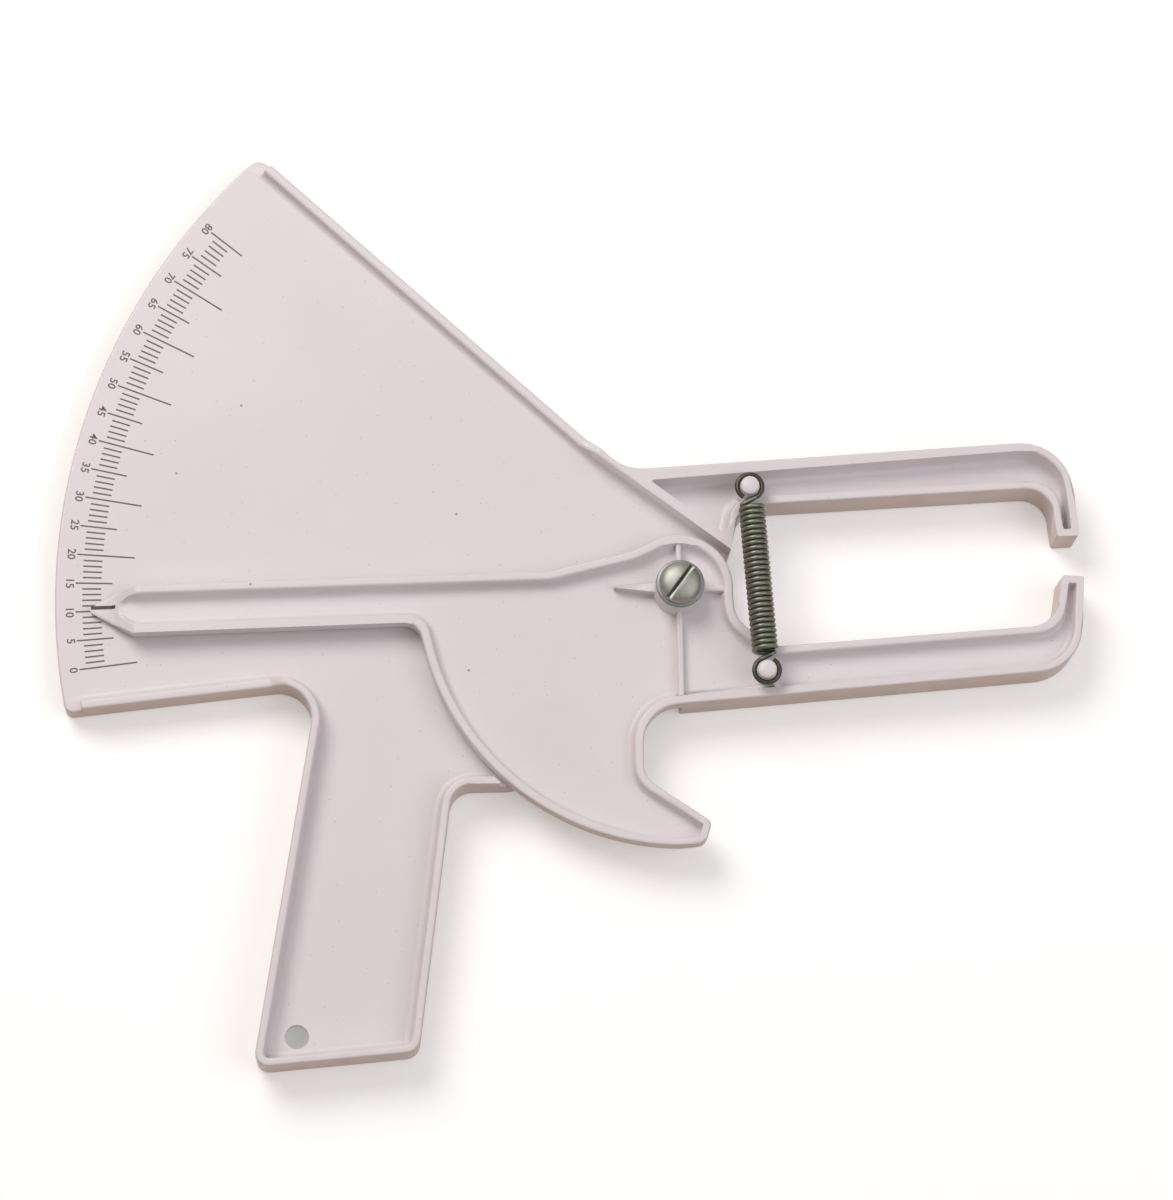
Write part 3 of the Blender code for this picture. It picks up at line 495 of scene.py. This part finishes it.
# The index line is a short black stroke filled into the pointer's nose, nearly in line with the
# pivot. It lies on the nose's flat from the root outwards, and inwards climbs the ramp behind it.
INDEX_ENDS = (148.8 * MM, 155.2 * MM)
INDEX_WIDTH = 0.95 * MM
INDEX_ANGLE = math.radians(182.3)
NOSE_FRONT = 9.4 * MM
NOSE_ROOT = 149.9 * MM
NOSE_RAMP = 0.684
climb = ink_line(INDEX_ENDS[0], NOSE_ROOT, INDEX_ANGLE, NOSE_FRONT, INDEX_WIDTH)
for vertex in climb.data.vertices:
    inwards = NOSE_ROOT - Vector((vertex.co.x - pivot.x, vertex.co.y - pivot.y)).length
    vertex.co.z += max(0.0, inwards) * NOSE_RAMP
index_line = ink_line(
    NOSE_ROOT - INDEX_WIDTH / 2, INDEX_ENDS[1], INDEX_ANGLE, NOSE_FRONT, INDEX_WIDTH)
climb.select_set(True)
bpy.ops.object.join()
index_line.name = "index_line"
black = empty_material("black_filled_ink")
at = add(black, "ShaderNodeTexCoord", {}).outputs["Object"]
grain = add(black, "ShaderNodeTexNoise", {"Vector": at, "Scale": 1 / MM, "Detail": 3.0})
shade = add(black, "ShaderNodeMix", {
    0: grain.outputs[0], MIX_A: linear("383632"), MIX_B: linear("504C45")}, data_type="RGBA")
paint = add(black, "ShaderNodeBsdfPrincipled", {"Base Color": shade.outputs[MIX_OUT], "Roughness": 0.5})
add(black, "ShaderNodeOutputMaterial", {"Surface": paint.outputs[0]})
index_line.data.materials.append(black)
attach(index_line, "lever")

# The pivot screw, its washers and its nut are zinc-plated steel. The plating on the dome has dulled
# to a greenish grey, and the washer under it keeps the passivation's cold blue. The screw's slot is
# painted dark as shade, with a painted shadow on its upper side and a painted highlight on its lower
# one.
STEEL_GRAIN = 0.35 * MM
STEEL_STAIN = 2.5 * MM
STEEL_CREASE = math.radians(40.0)
SCREW_EDGE = 0.26 * MM
WASHER_EDGE = 0.08 * MM
NUT_EDGE = 0.1 * MM
SLOT_WIDTH = 1.3 * MM
SLOT_DEPTH = 1.5 * MM
SLOT_ANGLE = math.radians(54.0)
SLOT_SHADE = 0.25 * MM
SLOT_REACH = 0.52
SLOT_FACING = 0.5
across_slot = Vector((-math.sin(SLOT_ANGLE), math.cos(SLOT_ANGLE), 0))


def worn_slot(material, at, shadow_colour):
    """The slot's colour: a painted shadow on the upper side, a painted highlight on the lower one."""
    beside = add(material, "ShaderNodeVectorMath", {0: at, 1: across_slot}, operation="DOT_PRODUCT")
    middle = pivot.dot(across_slot)
    lit_share = add(material, "ShaderNodeMapRange", {
        "Value": beside.outputs["Value"], "From Min": middle, "From Max": middle - SLOT_SHADE})
    # The near-white colour is a painted highlight, and the dark plating passed in is a painted shadow.
    shadow_to_highlight = add(material, "ShaderNodeMix", {
        0: lit_share.outputs[0], MIX_A: shadow_colour, MIX_B: linear("F2F1EA")}, data_type="RGBA")
    return shadow_to_highlight.outputs[MIX_OUT]


def zinc_plate(name, dull, bright, low, high, wear_and_painted_light=None):
    """Zinc plating: a satin metal, mottled by its grain and by handling, with painted shade and
    highlight if need be.
    """
    material = empty_material(name)
    at = add(material, "ShaderNodeTexCoord", {}).outputs["Object"]
    stain = add(material, "ShaderNodeTexNoise", {"Vector": at, "Scale": 1 / STEEL_STAIN, "Detail": 5.0})
    tone = add(material, "ShaderNodeMix", {
        0: stain.outputs[0], MIX_A: linear(dull), MIX_B: linear(bright)}, data_type="RGBA")
    # Where asked for, a painted shadow and highlight are laid over the plating's colour.
    colour = wear_and_painted_light(material, at, tone.outputs[MIX_OUT]) if wear_and_painted_light else tone.outputs[MIX_OUT]
    grain = add(material, "ShaderNodeTexNoise", {"Vector": at, "Scale": 1 / STEEL_GRAIN, "Detail": 3.0})
    rough = add(material, "ShaderNodeMapRange", {
        "Value": grain.outputs[0], "To Min": low, "To Max": high})
    pits = add(material, "ShaderNodeBump", {
        "Height": grain.outputs[0], "Strength": 0.3, "Distance": 0.02 * MM})
    shader = add(material, "ShaderNodeBsdfPrincipled", {
        "Base Color": colour, "Metallic": 1.0, "Roughness": rough.outputs[0],
        "Normal": pits.outputs[0]})
    add(material, "ShaderNodeOutputMaterial", {"Surface": shader.outputs[0]})
    return material


def plated(name, node, width, material):
    """A small turned or pressed piece with its sharp edges broken, standing for its CAD node."""
    piece = copy_of(name, node)
    bpy.ops.mesh.dissolve_limited(angle_limit=FLAT)
    bpy.ops.object.mode_set(mode="OBJECT")
    rounding = piece.modifiers.new("rounding", "BEVEL")
    rounding.limit_method = "ANGLE"
    rounding.angle_limit = SHARP
    rounding.width = width
    rounding.segments = 2
    bpy.ops.object.modifier_apply(modifier=rounding.name)
    bpy.ops.object.shade_smooth_by_angle(angle=STEEL_CREASE)
    piece.data.materials.clear()
    piece.data.materials.append(material)
    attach(piece, "frame")
    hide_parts(node)
    return piece


dull_zinc = zinc_plate("dulled_zinc_plate", "9C9D94", "BDBEB6", 0.42, 0.6)
blue_zinc = zinc_plate("blue_passivated_zinc", "8F969B", "A5ABAF", 0.34, 0.5)
screw = plated("slotted_screw", "pivot_screw", SCREW_EDGE, dull_zinc)
# A second, darker plating paints shade into the slot's recess.
screw.data.materials.append(zinc_plate("slot_painted_shade", "50514A", "6C6D65", 0.5, 0.7, worn_slot))
slot_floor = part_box("pivot_screw")[1].z - SLOT_DEPTH
# Faces inside the slot and above its floor take the painted shade, except the wall that faces the light.
for face in screw.data.polygons:
    inside = abs((face.center - pivot).dot(across_slot)) < SLOT_WIDTH * SLOT_REACH
    above_floor = face.center.z > slot_floor - SAME_PLACE
    if inside and above_floor and face.normal.dot(across_slot) < SLOT_FACING:
        face.material_index = 1
plated("screw_washer", "front_washer", WASHER_EDGE, blue_zinc)
plated("rear_washer", "back_washer", WASHER_EDGE, blue_zinc)
plated("hexagon_lock_nut", "lock_nut", NUT_EDGE, blue_zinc)

# The ring in the lock nut's collar is natural nylon: a milky, slightly waxy off-white. It is turned
# to the nut's bore and only its edges are broken.
RING_EDGE = 0.08 * MM
nylon = empty_material("natural_nylon")
at = add(nylon, "ShaderNodeTexCoord", {}).outputs["Object"]
milk = add(nylon, "ShaderNodeTexNoise", {"Vector": at, "Scale": 1 / MM, "Detail": 2.0})
waxy = add(nylon, "ShaderNodeMix", {
    0: milk.outputs[0], MIX_A: linear("E3DFCF"), MIX_B: linear("EDEADF")}, data_type="RGBA")
ring = add(nylon, "ShaderNodeBsdfPrincipled", {"Base Color": waxy.outputs[MIX_OUT], "Roughness": 0.45})
add(nylon, "ShaderNodeOutputMaterial", {"Surface": ring.outputs[0]})
plated("nylon_lock_ring", "lock_nut_insert", RING_EDGE, nylon)

# The tension spring is one drawn steel wire, close-wound, with a loop at each end over a post. It
# stretches between the posts: each turn follows the lower post by its share of the length. The end
# loops are a darker grey than the coil.
SPRING_WIRE = 1.34 * MM
SPRING_WIDTH = 7.1 * MM
SPRING_TURNS = 28.5
COIL_FROM_POST = 4.9 * MM
END_LOOP = 3.3 * MM
LOOP_SWEEP = math.radians(300.0)
LOOP_LEAVES = math.radians(-25.0)
LOOP_STEPS = 28
POSTS_APART = math.radians(100.6)
TURN_POINTS = 24
BEND_TURN = math.radians(40.0)
BEND_START = 0.35
BEND_STEPS = 6
WIRE_CREASE = math.radians(50.0)
WIRE_FILM = 1.5 * MM
upper_post = Vector(joints["spring_swing"]["pos_m"])
lever_arm = Vector((upper_post.x - pivot.x, upper_post.y - pivot.y, 0))
lower_post = Matrix.Rotation(-POSTS_APART, 3, "Z") @ lever_arm + Vector((pivot.x, pivot.y, upper_post.z))
spring_length = (lower_post - upper_post).length
coil_length = spring_length - 2 * COIL_FROM_POST
coil_radius = (SPRING_WIDTH - SPRING_WIRE) / 2
coil_pitch = coil_length / SPRING_TURNS


def coil_place(turn):
    """A point on the coil: along the spring, across it and up."""
    along = COIL_FROM_POST + coil_pitch * turn / (2 * math.pi)
    return Vector((along, coil_radius * math.cos(turn), -coil_radius * math.sin(turn)))


def end_places():
    """One end of the wire: its loop round the post and the bend into the coil."""
    turns = [LOOP_LEAVES - LOOP_SWEEP * (1 - step / LOOP_STEPS) for step in range(LOOP_STEPS + 1)]
    places = [Vector((END_LOOP * math.cos(t), END_LOOP * math.sin(t), 0)) for t in turns]
    bend = Vector((COIL_FROM_POST, coil_radius, 0))
    before, after = bend.lerp(places[-1], BEND_START), coil_place(BEND_TURN)
    for step in range(BEND_STEPS + 1):
        share = step / BEND_STEPS
        places.append(before.lerp(bend, share).lerp(bend.lerp(after, share), share))
    return places


def spring_steel(name, dark, light):
    """Drawn and oiled spring wire: a greenish grey metal with a thin, uneven film."""
    material = empty_material(name)
    at = add(material, "ShaderNodeTexCoord", {}).outputs["Object"]
    film = add(material, "ShaderNodeTexNoise", {"Vector": at, "Scale": 1 / WIRE_FILM, "Detail": 4.0})
    tone = add(material, "ShaderNodeMix", {
        0: film.outputs[0], MIX_A: linear(dark), MIX_B: linear(light)}, data_type="RGBA")
    rough = add(material, "ShaderNodeMapRange", {
        "Value": film.outputs[0], "To Min": 0.36, "To Max": 0.52})
    shader = add(material, "ShaderNodeBsdfPrincipled", {
        "Base Color": tone.outputs[MIX_OUT], "Metallic": 1.0, "Roughness": rough.outputs[0]})
    add(material, "ShaderNodeOutputMaterial", {"Surface": shader.outputs[0]})
    return material


first_end = end_places()
last_end = [Vector((spring_length - p.x, -p.y, p.z)) for p in reversed(first_end)]
coil_turn = 2 * math.pi * SPRING_TURNS - 2 * BEND_TURN
coil_steps = round(coil_turn / (2 * math.pi) * TURN_POINTS)
coil = [coil_place(BEND_TURN + coil_turn * step / coil_steps) for step in range(1, coil_steps)]
wire_places = first_end + coil + last_end
along = (lower_post - upper_post).normalized()
across = Vector((along.y, -along.x, 0))
bpy.ops.curve.primitive_bezier_curve_add(location=(0, 0, 0))
wire = bpy.context.object
wire.name = "coil_spring"
wire.data.splines.clear()
line = wire.data.splines.new("POLY")
line.points.add(len(wire_places) - 1)
for point, spot in zip(line.points, wire_places):
    point.co = (*(upper_post + along * spot.x + across * spot.y + Vector((0, 0, spot.z))), 1)
wire.data.bevel_depth = SPRING_WIRE / 2
wire.data.bevel_resolution = 3
wire.data.use_fill_caps = True
bpy.ops.object.convert(target="MESH")
wire = bpy.context.object
bpy.ops.object.shade_smooth_by_angle(angle=WIRE_CREASE)
wire.data.materials.clear()
wire.data.materials.append(spring_steel("drawn_spring_steel", "7A7D6F", "96988A"))
wire.data.materials.append(spring_steel("darker_end_loops", "4E5146", "62655A"))
for face in wire.data.polygons:
    reach = (face.center - upper_post).dot(along)
    if not COIL_FROM_POST - SPRING_WIRE < reach < spring_length - COIL_FROM_POST + SPRING_WIRE:
        face.material_index = 1
stretch = wire.vertex_groups.new(name="share_of_lower_post")
for vertex in wire.data.vertices:
    share = ((vertex.co - upper_post).dot(along) - COIL_FROM_POST) / coil_length
    stretch.add([vertex.index], min(1.0, max(0.0, share)), "REPLACE")
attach(wire, "spring")
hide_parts("spring")
bpy.ops.object.empty_add(location=lower_post)
post_mark = bpy.context.object
post_mark.name = "lower_post_mark"
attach(post_mark, "lever")
bpy.ops.object.empty_add(location=lower_post)
spring_end = bpy.context.object
spring_end.name = "spring_lower_end"
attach(spring_end, "spring")
follow = spring_end.constraints.new("COPY_LOCATION")
follow.target = post_mark
bpy.context.view_layer.update()
pull = wire.modifiers.new("pull", "HOOK")
pull.object = spring_end
pull.vertex_group = stretch.name
pull.matrix_inverse = spring_end.matrix_world.inverted() @ wire.matrix_world
